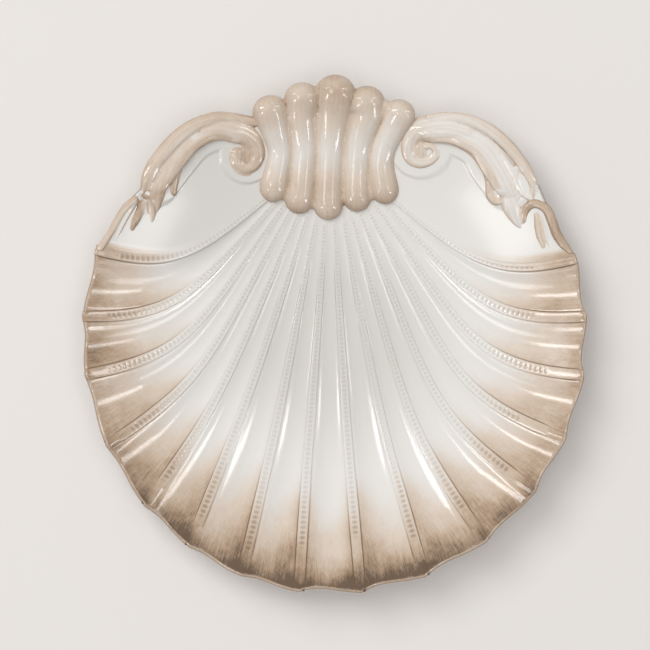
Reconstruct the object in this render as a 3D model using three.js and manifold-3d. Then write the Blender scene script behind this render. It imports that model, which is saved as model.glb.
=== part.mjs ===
// A glazed ceramic dish in the form of a scallop shell, in millimetres, resting on its foot ring at z = 0.
// The hinge of the shell, with its five lobes and two scrolls, is towards +Y and the fan opens towards -Y.
import * as THREE from "three";
import { mergeVertices } from "three/addons/utils/BufferGeometryUtils.js";
import Module from "manifold-3d";

// Bowl
const HALF_WIDTH = 161;
const HALF_LENGTH = 165.5;
const FLOOR = 10;
const RISE = 34;
const BOWL_POWER = 2.3;
const WALL = 5.5;
const EDGE_DROP = 2.2;
const FOOT_OUTER = 62;
const FOOT_INNER = 54;
const FOOT_TOP = 9.1;
const FOOT_SIDES = 48;

// Ribs: sixteen bands from a short root line under the hinge to the rim, left to right.
// Angles are in degrees, turned from -Y towards +X.
const RIB_ENDS = [-109, -94, -81, -64.5, -48.5, -35, -21.5, -8, 6, 21, 37, 53, 66.5, 81, 94, 107];
const RIB_ARRIVALS = [-105, -92, -80, -57, -36, -21, -13, -3, 5, 16, 36, 56, 71, 87, 95, 104];
const RIB_DEPART_STEP = 6.8;
const ROOT = { x: -3, y: 112, half: 10, hingeY: 116 };
const DEPART_PULL = 0.62;
const ARRIVE_PULL = 0.38;
const BAND_HEIGHT = 0.9;
const BAND_SHOULDER = 0.8;

// Flutes: how far the rim falls back between two ribs, how far it sways in past the first one and out before the
// second, and how hollow a flute is for its width.
const RIM_DIPS = [0.5, 0.5, -0.3, 0, 0.3, -0.3, 0, 1.6, 1.3, 0.7, 0.3, 0.8, 0.3, 1.6, 0.9];
const RIM_SWAY = 0.8;
const FLUTE_HOLLOW = 0.13;
const FLUTE_DEPTH = 4.5;
const FLUTE_LINES = [0.35, 0.65];

// Edge of the bowl on the hinge side, right to left, where it runs under the scrolls and lobes.
const HINGE_EDGE = [
  [147, 60], [137.8, 77], [130, 94.5], [108, 112], [94, 124], [73, 132.5], [54, 132], [41, 139], [20.5, 146],
  [0.5, 152], [-20.5, 148.5], [-40.5, 140.5], [-54, 131], [-72, 133], [-92, 125], [-104, 113], [-119, 97],
  [-133.5, 83], [-142, 66.5],
];
const HINGE_BENDS = [0.85, 0.65, 0.45, 0.25, 0.1];

// Steps from the root to the rim.
const TOP_STEPS = [0.04, 0.11, 0.2, 0.3, 0.4, 0.5, 0.6, 0.69, 0.77, 0.85, 0.92, 0.96, 0.988];
const UNDER_STEPS = [0.985, 0.86, 0.7, 0.52, 0.34, 0.16];

// Rolls: x, y and half-width of each place a roll passes.
const LOBES = [
  [[-40.5, 140.5, 11.7], [-37.5, 129.5, 9.8], [-35, 117, 8.4], [-36.5, 107, 8.8], [-39, 94, 9.4]],
  [[-20.5, 148.5, 11.7], [-20, 129.5, 9.2], [-19.5, 117, 8.6], [-21, 98, 9.2], [-22.5, 87, 9.8]],
  [[0.5, 151.7, 13.3], [-2, 129.5, 10.4], [-3, 117, 9.8], [-4, 91.5, 9.9], [-4, 83, 9.8]],
  [[20.5, 146, 12], [17.5, 129.5, 10], [15, 117, 8.9], [14, 98, 9.1], [14.5, 88, 9.5]],
  [[41, 139, 10.5], [33.5, 124.5, 9], [31, 117, 8.6], [30, 107, 8.6], [32.5, 92.5, 9.2]],
];

// The rolls of each scroll: path, height for its half-width, lift above the bowl at its start and end.
const LEFT_ROLLS = [
  [[[-113, 97, 8.5], [-107, 107, 9.5], [-101, 115, 9.8], [-93, 123.5, 9.3], [-82, 129.8, 8.8], [-71.5, 131.5, 8.5],
    [-61, 129.5, 8.5]], 0.34, 0, 0],
  [[[-71.5, 132.5, 8], [-61, 130.5, 8.4], [-53.3, 124.5, 7.4], [-49.8, 116, 6], [-51.8, 109.3, 5],
    [-57, 106.8, 4.3], [-61.8, 109.8, 4], [-62.3, 115.3, 4.2]], 0.55, 0.3, 1.8],
  [[[-57, 116.5, 7.5], [-57, 113.5, 7.5]], 0.4, 0, 0],
  [[[-48.6, 103.8, 2], [-56, 102, 2.4], [-63, 104.3, 2.4], [-66.6, 109.8, 2.3], [-65, 120, 1.6]], 0.9, 0, 0.3],
  [[[-121.2, 91.8, 2.3], [-119.3, 98, 3.6], [-115.3, 106.5, 4.2], [-108.9, 114.8, 4.6], [-101.6, 122.8, 4.8],
    [-93.3, 129.6, 4.6], [-84.2, 134.7, 4.1], [-74, 137.4, 3.7], [-64.5, 136.2, 3.2]], 0.75, 0.8, 1.5],
  [[[-99.5, 116, 3.4], [-105.5, 107.8, 4.2], [-109, 99.8, 4.8], [-111.5, 93, 5], [-112.7, 86.8, 4.4],
    [-113.6, 76.4, 1.2]], 0.6, 1.4, 0],
  [[[-73, 126.3, 2.4], [-79.8, 124.9, 2.8], [-86.6, 120.6, 3.1], [-93.2, 116, 3.4], [-97.9, 110, 3.5],
    [-100.8, 103.2, 3.5], [-103, 90.5, 3]], 0.75, 1.4, 0.7],
  [[[-121.5, 88.3, 2.3], [-118, 86.8, 2.3], [-117, 72, 1.2]], 0.8, 0.8, 0],
  [[[-126.5, 86, 2.2], [-131, 82, 2.4], [-138.4, 71.3, 2.3], [-144.5, 60.5, 2.4], [-148.5, 54.5, 2.2]], 0.8, 0.4, 0.2],
  [[[-122.5, 84, 2.6], [-125, 76.8, 3.4], [-129.2, 67.8, 2.6]], 0.6, 0.2, -0.5],
];
const RIGHT_ROLLS = [
  [[[111, 98, 11.5], [104, 109, 12.3], [95, 121.5, 11], [83, 128.7, 10.8], [73, 131, 10.2], [64, 131, 9.5]],
    0.28, 0, 0],
  [[[73, 132, 9], [63, 131.5, 8.8], [54, 130, 8], [48.8, 124.5, 6], [47.8, 118, 5.6], [50, 112.3, 4.9],
    [55.5, 110, 4.2], [61.5, 111.8, 3.8], [65, 115.5, 3.2], [63.5, 119.3, 2.8], [59.5, 120.6, 2.6],
    [56.3, 118.7, 2.2]], 0.5, 0.3, 1.9],
  [[[56.5, 119, 7], [56.5, 116.5, 7]], 0.4, 0, 0],
  [[[125.6, 89.4, 2.4], [126, 95, 3], [122.7, 102.3, 3.4], [117.3, 110.5, 3.7], [109.9, 119.5, 3.9],
    [101, 127.6, 3.9], [90.7, 133.6, 3.7], [80.3, 137, 3.3], [69.8, 138, 2.8], [60, 137.5, 2.4]], 0.75, 0.8, 1.4],
  [[[124.3, 86.6, 2], [120.6, 88.7, 2.2], [117.3, 94.6, 2.4], [113.9, 102.1, 2.3], [108.7, 110.3, 2]], 0.8, 1, 1.6],
  [[[103.4, 108.9, 4], [107.9, 99.1, 4.8], [111.3, 90.2, 6], [113.6, 81.9, 7.2], [115.8, 75.2, 5.4],
    [120.4, 67.2, 1]], 0.45, 1.2, 0.2],
  [[[74.3, 123.5, 2.8], [81, 120.6, 3.2], [87.7, 116.9, 3.6], [93.3, 110.8, 3.8], [97.5, 104.5, 4],
    [99.6, 97.5, 4], [100, 89.5, 3.8], [105.8, 85.3, 2.6]], 0.65, 1.1, 0.5],
  [[[120.3, 72.2, 1.8], [121.2, 78.2, 2.8], [124.4, 82.3, 3], [129.2, 82.7, 3], [134.6, 79, 3.1],
    [138.2, 70.9, 3.2], [145.3, 56.7, 2.8], [149.3, 52.3, 1.8]], 0.75, 0.8, 0.2],
  [[[129.2, 75.5, 2.8], [131.9, 62.5, 3.8], [133.8, 56.5, 2.8]], 0.5, -0.3, -0.6],
];
const LOBE_AROUND = 12;
const WIDE_AROUND = 10;
const NARROW_AROUND = 6;
const WIDE = 7;
const CAP_ANGLES = [35, 65];

const clamp01 = (v) => Math.min(1, Math.max(0, v));
const smooth = (a, b, v) => {
  const s = clamp01((v - a) / (b - a));
  return s * s * (3 - 2 * s);
};
const heading = (degrees) => {
  const a = THREE.MathUtils.degToRad(degrees);
  return new THREE.Vector2(Math.sin(a), -Math.cos(a));
};

// Height of the plain bowl, without ribs and flutes.
function bowl(x, y) {
  return FLOOR + RISE * Math.hypot(x / HALF_WIDTH, y / HALF_LENGTH) ** BOWL_POWER;
}

// Guides: the lines that run from the root to the rim, one for each rib and one for each point of the hinge edge.
function ribGuide(index) {
  const across = (index - 7.5) / 7.5;
  const start = new THREE.Vector2(ROOT.x + ROOT.half * across, ROOT.y);
  const out = heading(RIB_ENDS[index]);
  const end = new THREE.Vector2(out.x * HALF_WIDTH, out.y * HALF_LENGTH);
  const reach = start.distanceTo(end);
  const depart = heading(RIB_DEPART_STEP * (index - 7.5)).multiplyScalar(DEPART_PULL * reach);
  const arrive = heading(RIB_ARRIVALS[index]).multiplyScalar(-ARRIVE_PULL * reach);
  return { curve: new THREE.CubicBezierCurve(start, start.clone().add(depart), end.clone().add(arrive), end), rib: true };
}

function hingeGuide(index, ribs) {
  const count = HINGE_EDGE.length;
  const across = 1 - (2 * (index + 0.5)) / count;
  const start = new THREE.Vector2(ROOT.x + ROOT.half * across, ROOT.hingeY);
  const end = new THREE.Vector2(...HINGE_EDGE[index]);
  const right = index < count / 2;
  const bend = HINGE_BENDS[right ? index : count - 1 - index] ?? 0;
  const model = ribs[right ? ribs.length - 1 : 0].curve;
  const pulls = [model.v1, model.v2].map((control, k) => {
    const along = k === 0 ? DEPART_PULL : 1 - ARRIVE_PULL;
    const off = control.clone().sub(model.v0.clone().lerp(model.v3, along)).multiplyScalar(bend);
    return start.clone().lerp(end, along).add(off);
  });
  return { curve: new THREE.CubicBezierCurve(start, pulls[0], pulls[1], end), rib: false };
}

const ribGuides = RIB_ENDS.map((_, i) => ribGuide(i));
const guides = [...ribGuides, ...HINGE_EDGE.map((_, i) => hingeGuide(i, ribGuides))];

// Half of a band's width where the ribs are this far apart.
const bandHalf = (pitch) => Math.min(0.27 * pitch, 1.2 + 0.065 * pitch, 3.3);

// A point of the surface between guide g and the next one: across runs 0 to 1 between them, along 0 to 1 to the rim.
function surfacePoint(g, across, along) {
  const a = guides[g].curve.getPoint(along);
  const b = guides[(g + 1) % guides.length].curve.getPoint(along);
  const point = a.clone().lerp(b, across);
  const pitch = a.distanceTo(b);
  const arch = 4 * across * (1 - across);
  let hollow = 0;
  if (g < RIM_DIPS.length) {
    const inward = new THREE.Vector2(a.y - b.y, b.x - a.x).normalize();
    const sway = RIM_SWAY * Math.sin(2 * Math.PI * across);
    point.addScaledVector(inward, (RIM_DIPS[g] * arch + sway) * along ** 6);
    hollow = Math.min(FLUTE_HOLLOW * pitch, FLUTE_DEPTH) * arch;
  }
  return { x: point.x, y: point.y, z: bowl(point.x, point.y) - hollow, pitch };
}

// The lines of the upper surface: each rib gives the two edges and two feet of its band.
function topLines(along) {
  const lines = [];
  guides.forEach((guide, g) => {
    const next = guides[(g + 1) % guides.length];
    const pitch = surfacePoint(g, 0, along).pitch;
    const half = (guide.rib || next.rib ? bandHalf(ribPitch(g, along)) : 0) / pitch;
    const foot = half + BAND_SHOULDER / pitch;
    const between = guide.rib && next.rib ? FLUTE_LINES : guide.rib || next.rib ? [0.35, 0.65] : [0.5];
    if (guide.rib) lines.push([g, Math.min(half, 0.2), BAND_HEIGHT], [g, Math.min(foot, 0.28), 0]);
    else lines.push([g, 0, 0]);
    between.forEach((u) => lines.push([g, u, 0]));
    if (next.rib) lines.push([g, 1 - Math.min(foot, 0.28), 0], [g, 1 - Math.min(half, 0.2), BAND_HEIGHT]);
  });
  return lines;
}

// The distance between ribs at this guide; the outermost ribs take it from the flute inside them.
function ribPitch(g, along) {
  const flute = g < RIM_DIPS.length ? g : g === RIM_DIPS.length ? g - 1 : 0;
  return surfacePoint(flute, 0, along).pitch;
}

function topRing(along) {
  const swell = smooth(0.03, 0.12, along);
  return topLines(along).map(([g, across, raise]) => {
    const p = surfacePoint(g, across, along);
    return [p.x, p.y, p.z + raise * swell];
  });
}

function noseRing() {
  return topRing(1).map(([x, y, z]) => [x, y, z - EDGE_DROP]);
}

// The underside has one line under each rib and one under each flute, and no bands.
function underRing(along) {
  return guides.flatMap((guide, g) => {
    const stops = guide.rib && guides[g + 1].rib ? [0, 0.5] : [0];
    return stops.map((across) => {
      const p = surfacePoint(g, across, along);
      return [p.x, p.y, p.z - WALL];
    });
  });
}

// Joins two closed rings of any point counts, each one starting at the first rib.
function stitch(faces, lower, upper) {
  const share = (ring, i) => ring.shares[i] ?? 1;
  let i = 0;
  let j = 0;
  while (i < lower.count || j < upper.count) {
    const a = lower.first + (i % lower.count);
    const b = upper.first + (j % upper.count);
    if (j >= upper.count || (i < lower.count && share(lower, i + 1) <= share(upper, j + 1))) {
      i += 1;
      faces.push(a, b, lower.first + (i % lower.count));
    } else {
      j += 1;
      faces.push(a, b, upper.first + (j % upper.count));
    }
  }
}

// Rings of points, from the inside out or from below up, closed by a point at each end.
function closedBody(start, rings, end) {
  const points = [start, ...rings.flat(), end];
  const faces = [];
  let first = 1;
  const spans = rings.map((ring) => {
    const span = { first, count: ring.length, shares: ring.map((p, k) => p[3] ?? k / ring.length) };
    first += ring.length;
    return span;
  });
  const head = spans[0];
  const tail = spans[spans.length - 1];
  for (let k = 0; k < head.count; k += 1) faces.push(0, head.first + ((k + 1) % head.count), head.first + k);
  for (let k = 1; k < spans.length; k += 1) stitch(faces, spans[k], spans[k - 1]);
  for (let k = 0; k < tail.count; k += 1) {
    faces.push(points.length - 1, tail.first + k, tail.first + ((k + 1) % tail.count));
  }
  return { points: points.map((p) => p.slice(0, 3)), faces };
}

// Marks each point of a ring with its place around the dish, so rings with other counts line up.
function placed(ring, lines) {
  return ring.map((p, k) => [...p, (lines[k][0] + lines[k][1]) / guides.length]);
}

function dishBody() {
  const underLines = guides.flatMap((guide, g) => (guide.rib && guides[g + 1].rib ? [[g, 0], [g, 0.5]] : [[g, 0]]));
  const top = TOP_STEPS.map((along) => placed(topRing(along), topLines(along)));
  const nose = placed(noseRing(), topLines(1));
  const under = UNDER_STEPS.map((along) => placed(underRing(along), underLines));
  const middleY = (ROOT.y + ROOT.hingeY) / 2;
  const height = bowl(ROOT.x, middleY);
  return closedBody([ROOT.x, middleY, height], [...top, nose, ...under], [ROOT.x, middleY, height - WALL]);
}

// A rounded roll laid on the bowl along a path. Beyond the bowl's edge its lower side is as round as its upper one.
function roll(path, { around, perSpan, up, lift = [0, 0] }) {
  const spots = path.map(([x, y, half]) => new THREE.Vector3(x, y, half));
  const spine = new THREE.CatmullRomCurve3(spots, false, "catmullrom");
  const count = (path.length - 1) * perSpan;
  const sections = Array.from({ length: count + 1 }, (_, k) => {
    const p = spine.getPoint(k / count);
    const d = spine.getTangent(k / count);
    const middle = bowl(p.x, p.y) - 1 + THREE.MathUtils.lerp(...lift, k / count);
    return { x: p.x, y: p.y, half: p.z, dir: new THREE.Vector2(d.x, d.y).normalize(), scale: 1, middle };
  });
  const first = sections[0];
  const last = sections[count];
  // A round end: it goes on from a section along the path's way, and on up or down the bowl's slope.
  const cap = (at, sign) => {
    const ahead = [1, -1].map((step) => bowl(at.x + at.dir.x * step, at.y + at.dir.y * step));
    const climb = (ahead[0] - ahead[1]) / 2;
    return [...CAP_ANGLES, 90].map((degrees) => {
      const a = THREE.MathUtils.degToRad(degrees);
      const step = sign * at.half * Math.sin(a);
      const middle = at.middle + climb * step * Math.cos(a);
      return { ...at, x: at.x + at.dir.x * step, y: at.y + at.dir.y * step, scale: Math.cos(a), middle };
    });
  };
  const head = cap(first, -1);
  const tail = cap(last, 1);
  const ring = (s) => {
    const beyond = smooth(0.82, 0.94, Math.hypot(s.x / HALF_WIDTH, s.y / HALF_LENGTH));
    const down = THREE.MathUtils.lerp(Math.min(3, up * s.half), up * s.half, beyond);
    return Array.from({ length: around }, (_, k) => {
      const a = (2 * Math.PI * (k + 0.5)) / around;
      const side = s.half * s.scale * Math.cos(a);
      const rise = Math.sin(a) * s.scale * (Math.sin(a) > 0 ? up * s.half : down);
      return [s.x - s.dir.y * side, s.y + s.dir.x * side, s.middle + rise];
    });
  };
  const tip = (s) => [s.x, s.y, s.middle];
  const between = [...head.slice(0, -1).reverse(), ...sections, ...tail.slice(0, -1)];
  return closedBody(tip(head.at(-1)), between.map(ring), tip(tail.at(-1)));
}

// A roll of a scroll. Wide ones and narrow ones have different numbers of sides.
function scrollRoll([path, up, start, end]) {
  const around = Math.max(...path.map((spot) => spot[2])) > WIDE ? WIDE_AROUND : NARROW_AROUND;
  return roll(path, { around, perSpan: 1, up, lift: [start, end] });
}

function footRing() {
  const level = (radius, z) => Array.from({ length: FOOT_SIDES }, (_, k) => {
    const a = (2 * Math.PI * k) / FOOT_SIDES;
    return [radius * Math.cos(a), radius * Math.sin(a), z];
  });
  const profile = [[FOOT_INNER + 1, 0], [FOOT_OUTER - 1, 0], [FOOT_OUTER, FOOT_TOP], [FOOT_INNER, FOOT_TOP]];
  const points = profile.flatMap(([radius, z]) => level(radius, z));
  const faces = [];
  for (let p = 0; p < profile.length; p += 1) {
    const a = p * FOOT_SIDES;
    const b = ((p + 1) % profile.length) * FOOT_SIDES;
    for (let k = 0; k < FOOT_SIDES; k += 1) {
      const n = (k + 1) % FOOT_SIDES;
      faces.push(a + k, b + n, b + k, a + k, a + n, b + n);
    }
  }
  return { points, faces };
}

const wasm = await Module();
wasm.setup();

// A solid made from a body's points and faces, turned outwards.
function solid({ points, faces }) {
  const raw = new THREE.BufferGeometry();
  raw.setAttribute("position", new THREE.Float32BufferAttribute(points.flat(), 3));
  raw.setIndex(faces);
  const merged = mergeVertices(raw, 1e-4);
  const index = Uint32Array.from(merged.index.array);
  const vertProperties = Float32Array.from(merged.attributes.position.array);
  if (signedVolume(vertProperties, index) < 0) index.reverse();
  return new wasm.Manifold(new wasm.Mesh({ numProp: 3, vertProperties, triVerts: index }));
}

function signedVolume(xyz, index) {
  const corner = (k) => new THREE.Vector3().fromArray(xyz, 3 * index[k]);
  let total = 0;
  for (let k = 0; k < index.length; k += 3) total += corner(k).dot(corner(k + 1).cross(corner(k + 2)));
  return total / 6;
}

function shellDish() {
  const bodies = [
    dishBody(),
    footRing(),
    ...LOBES.map((path) => roll(path, { around: LOBE_AROUND, perSpan: 2, up: 0.85 })),
    ...[...LEFT_ROLLS, ...RIGHT_ROLLS].map(scrollRoll),
  ];
  const joined = wasm.Manifold.union(bodies.map(solid)).getMesh();
  const geometry = new THREE.BufferGeometry();
  geometry.setAttribute("position", new THREE.BufferAttribute(Float32Array.from(joined.vertProperties), 3));
  geometry.setIndex(new THREE.BufferAttribute(Uint32Array.from(joined.triVerts), 1));
  geometry.computeBoundingBox();
  const middle = geometry.boundingBox.getCenter(new THREE.Vector3());
  geometry.translate(-middle.x, -middle.y, 0);
  geometry.computeVertexNormals();
  return geometry;
}

const glaze = new THREE.MeshStandardMaterial({ color: 0xdccfc0, roughness: 0.2, metalness: 0 });
const dish = new THREE.Mesh(shellDish(), glaze);
dish.name = "shell_dish";

const object = new THREE.Group();
object.name = "shell_shaped_dish";
object.add(dish);

export default object;
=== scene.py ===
"""A glazed ceramic dish in the form of a scallop shell, seen from straight above.

The shape is worked out in millimetres, in the frame's own axes: the hinge crest is towards +Y and the fan
opens towards -Y. Lights and camera are placed in metres.
"""

import math

import bpy
import numpy as np
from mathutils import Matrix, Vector


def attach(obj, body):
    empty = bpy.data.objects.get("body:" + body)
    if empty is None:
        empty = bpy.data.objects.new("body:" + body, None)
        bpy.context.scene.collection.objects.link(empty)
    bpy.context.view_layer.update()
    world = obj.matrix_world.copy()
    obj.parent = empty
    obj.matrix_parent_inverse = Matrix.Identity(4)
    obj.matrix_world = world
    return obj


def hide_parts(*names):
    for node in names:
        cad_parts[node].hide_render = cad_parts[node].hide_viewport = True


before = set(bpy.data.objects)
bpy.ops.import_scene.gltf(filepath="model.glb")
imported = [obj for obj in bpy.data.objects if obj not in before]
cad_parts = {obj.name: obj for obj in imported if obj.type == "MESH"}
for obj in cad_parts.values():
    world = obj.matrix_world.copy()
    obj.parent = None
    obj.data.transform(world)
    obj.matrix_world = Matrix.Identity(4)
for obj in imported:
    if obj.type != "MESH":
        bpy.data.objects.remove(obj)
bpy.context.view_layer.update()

MM = 0.001
NODE = "shell_dish"

# Bowl
HALF_WIDTH = 161
HALF_LENGTH = 165.5
FLOOR = 10
RISE = 34
BOWL_POWER = 2.3
WALL = 5.5
LIP_BENDS = tuple(range(75, -91, -15))
TOP_LINES = 151
TOP_CROWDING = 1.25
UNDER_STRIDE = 8

# Foot ring; each step of its rounded edge is a distance in from the side and a height.
FOOT_OUTER = 62
FOOT_INNER = 54
FOOT_TOP = 9.1
FOOT_EDGE = ((0, 1.2), (0.4, 0.3), (1.2, 0))
FOOT_SIDES = 160

# Ribs, left to right. Angles are in degrees, turned from -Y towards +X.
RIB_ENDS = (-109, -94, -81, -64.5, -48.5, -35, -21.5, -8, 6, 21, 37, 53, 66.5, 81, 94, 107)
RIB_ARRIVALS = (-105, -92, -80, -57, -36, -21, -13, -3, 5, 16, 36, 56, 71, 87, 95, 104)
RIB_DEPART_STEP = 6.8
MIDDLE_RIB = 7.5
ROOT_X = -3
ROOT_Y = 112
ROOT_HALF = 10
ROOT_HINGE_Y = 116
DEPART_PULL = 0.62
ARRIVE_PULL = 0.38
RIB_LENGTH = 165

# Bands on the ribs. Half a band is a share of the flute's width, within two limits.
BAND_SHARE = 0.27
BAND_LEAST = 1.2
BAND_PER_PITCH = 0.065
BAND_MOST = 3.3
BAND_HEIGHT = 0.22
BAND_HIDDEN = 0.5
BAND_RISES = (0.03, 0.1)
BAND_CROWN = 0.15
BAND_SPAN = (0.03, 0.997)
BAND_SAMPLES = 1500
BAND_TUCK = 1.5
BAND_STEP = 0.002
BAND_FADE = 6
BAND_EDGE = 0.95
BAND_ACROSS = (-1, -1, -0.94, -0.8, -0.6, -0.4, -0.2, 0, 0.2, 0.4, 0.6, 0.8, 0.94, 1, 1)
BAND_DROPS = (-2.2, -0.3, -0.04, 0, 0, 0, 0, 0, 0, 0, 0, 0, -0.04, -0.3, -2.2)
OUTER_SINK = 0.15

# The grooves beside the bands: distance from the band's side, and 1 at the bottom of the groove.
GROOVE = 0.45
GROOVE_OFFSETS = ((-0.5, 0), (0.35, 1), (1.1, 0))
GROOVE_LIMITS = (0.02, 0.19)
GROOVE_RISES = (0.05, 0.12)
LINE_FADE = 4
LINE_ENDS = (1.3, 1.3, 1.9, 7.6, 13.9, 11.4, 8.9, 2.5, 1.9, 7.6, 8.9, 10.1, 10.1, 1.9, 1.3, 1.3)

# The beads: where each rib's row ends before the rim, and the pit of one bead as shares of band and spacing.
BEAD_ENDS = (15.9, 15.9, 14.6, 17.8, 19.7, 19.7, 14.6, 27.9, 35.5, 24.1, 24.1, 20.9, 31.7, 22.8, 33, 26.6)
BEAD_SPACING = (2.2, 3.4)
BEAD_STATIONS = 8
BEAD_FADE = 3
PIT_HALF_WIDTH = 0.62
PIT_HALF_LENGTH = 0.41
PIT_DEPTH = 0.2

# Flutes
RIM_DIPS = (0.5, 0.5, -0.3, 0, 0.3, -0.3, 0, 1.6, 1.3, 0.7, 0.3, 0.8, 0.3, 1.6, 0.9)
RIM_SWAY = 0.8
RIM_POWER = 6
FLUTE_HOLLOW = 0.13
FLUTE_DEPTH = 4.5
FLUTE_LINES = (0.2, 0.29, 0.39, 0.5, 0.61, 0.71, 0.8)
HINGE_LINES = tuple(k / 11 for k in range(1, 11))

# Edge of the bowl on the hinge side, right to left, where it runs under the scrolls and lobes.
HINGE_EDGE = (
    (147, 60), (137.8, 77), (130, 94.5), (108, 112), (94, 124), (73, 132.5), (54, 132), (41, 139),
    (20.5, 146), (0.5, 152), (-20.5, 148.5), (-40.5, 140.5), (-54, 131), (-72, 133), (-92, 125), (-104, 113),
    (-119, 97), (-133.5, 83), (-142, 66.5),
)
HINGE_BENDS = (0.85, 0.65, 0.45, 0.25, 0.1)

# The low step in the dish beside the scrolls
LEDGE_HEIGHT = 1.2
LEDGE_EDGE = (5.4, 6.9)

# Rolls: x, y and half-width of each place a roll passes.
LOBES = (
    ((-40.5, 140.5, 11.7), (-37.5, 129.5, 9.8), (-35, 117, 8.4), (-36.5, 107, 8.8), (-38.5, 98, 9.4),
     (-39, 94, 9.4)),
    ((-20.5, 148.5, 11.7), (-21, 139, 10.2), (-20, 129.5, 9.2), (-19.5, 117, 8.6), (-21, 98, 9.2),
     (-22.5, 87, 9.8)),
    ((0.5, 151.7, 13.3), (-1, 139, 11.4), (-2, 129.5, 10.4), (-3, 117, 9.8), (-4, 91.5, 9.9),
     (-4, 83, 9.8)),
    ((20.5, 146, 12), (20.5, 139, 11), (17.5, 129.5, 10), (15, 117, 8.9), (14, 98, 9.1),
     (14.5, 88, 9.5)),
    ((41, 139, 10.5), (37.5, 132.5, 9.4), (33.5, 124.5, 9), (31, 117, 8.6), (30, 107, 8.6),
     (32.5, 92.5, 9.2)),
)
LOBE_WEBS = (
    ((-30.5, 142, 5), (-28.5, 129, 4.6), (-28, 113, 4.4), (-29, 100.5, 4.4), (-31.5, 90, 4.4)),
    ((-12, 152, 5.5), (-11.5, 139, 5), (-11.5, 114.5, 4.6), (-12.5, 97, 4.6), (-14, 85, 4.6)),
    ((11.5, 149, 5.5), (10, 138.5, 5), (7.5, 122.5, 4.6), (5.5, 102, 4.6), (6, 88, 4.6)),
    ((32, 144, 5), (27.5, 134.5, 4.6), (23.5, 117.5, 4.4), (22.5, 98.5, 4.4), (23.5, 90, 4.4)),
)
LEFT_ARM = (
    (-113, 97, 8.5), (-107, 107, 9.5), (-101, 115, 9.8), (-93, 123.5, 9.3), (-82, 129.8, 8.8),
    (-71.5, 131.5, 8.5), (-61, 129.5, 8.5),
)
RIGHT_ARM = (
    (111, 98, 11.5), (104, 109, 12.3), (95, 121.5, 11), (83, 128.7, 10.8), (73, 131, 10.2), (64, 131, 9.5),
)
LEFT_VOLUTE = (
    (-82, 131, 7), (-71.5, 132.5, 8), (-61, 130.5, 8.4), (-53.3, 124.5, 7.4), (-49.8, 116, 6),
    (-51.8, 109.3, 5), (-57, 106.8, 4.3), (-61.8, 109.8, 4), (-62.3, 115.3, 4.2),
)
RIGHT_VOLUTE = (
    (83, 130, 8), (73, 132, 9), (63, 131.5, 8.8), (54, 130, 8), (48.8, 124.5, 6), (47.8, 118, 5.6),
    (50, 112.3, 4.9), (55.5, 110, 4.2), (61.5, 111.8, 3.8), (65, 115.5, 3.2), (63.5, 119.3, 2.8),
    (59.5, 120.6, 2.6), (56.3, 118.7, 2.2), (57, 116, 1.8),
)
LEFT_EYE = ((-57, 116.5, 7.5), (-57, 113.5, 7.5))
RIGHT_EYE = ((56.5, 119, 7), (56.5, 116.5, 7))
LOBE_UP = 0.85
WEB_UP = 1.0

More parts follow.
